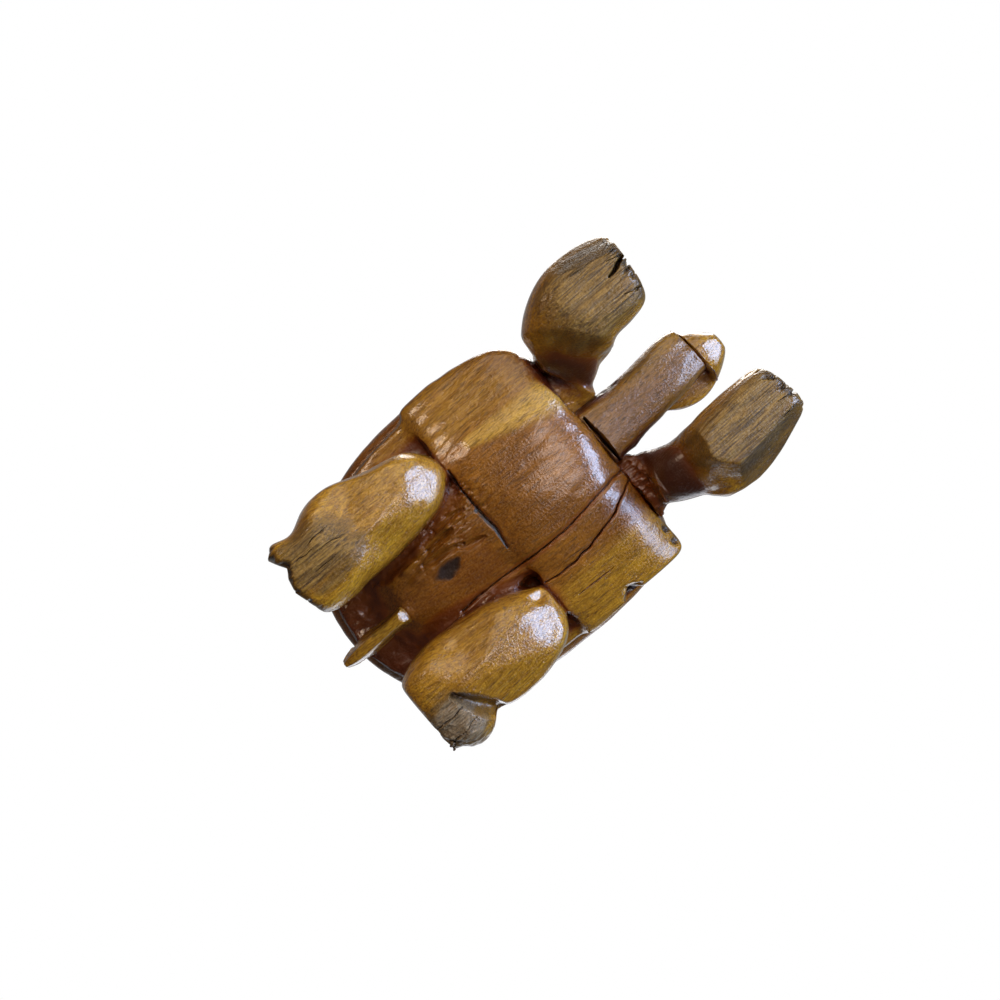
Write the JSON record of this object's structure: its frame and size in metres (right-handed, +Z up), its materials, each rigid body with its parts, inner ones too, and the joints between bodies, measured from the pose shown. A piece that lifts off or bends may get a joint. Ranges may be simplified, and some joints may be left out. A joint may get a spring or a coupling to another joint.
{
  "type": "turtle figurine",
  "caption": "Hand-carved, varnished wooden turtle that stands on flat soles, with a domed shell, a turned head and a keeled tail, glued up on hidden dowels.",
  "frame": {"origin": "on the ground under the middle of the figure's length, on the shell's centre line", "axes": "+Z up, the head towards -Y, the tail towards +Y, the turtle's left side towards +X"},
  "size_m": [0.092, 0.152, 0.0632],
  "materials": {
    "varnished_wood": "carved hardwood under a glossy amber varnish",
    "dowel_wood": "plain turned dowel rod, unfinished"
  },
  "bodies": {
    "root": {"carapace": "varnished_wood", "body_block": "varnished_wood", "neck": "varnished_wood", "head": "varnished_wood", "right_front_leg": "varnished_wood", "left_front_leg": "varnished_wood", "right_rear_leg": "varnished_wood", "left_rear_leg": "varnished_wood", "tail": "varnished_wood", "neck_dowel": "dowel_wood", "head_dowel": "dowel_wood", "front_leg_dowels": "dowel_wood", "hip_dowels": "dowel_wood", "tail_dowel": "dowel_wood", "shell_dowels": "dowel_wood"}
  },
  "joints": []
}
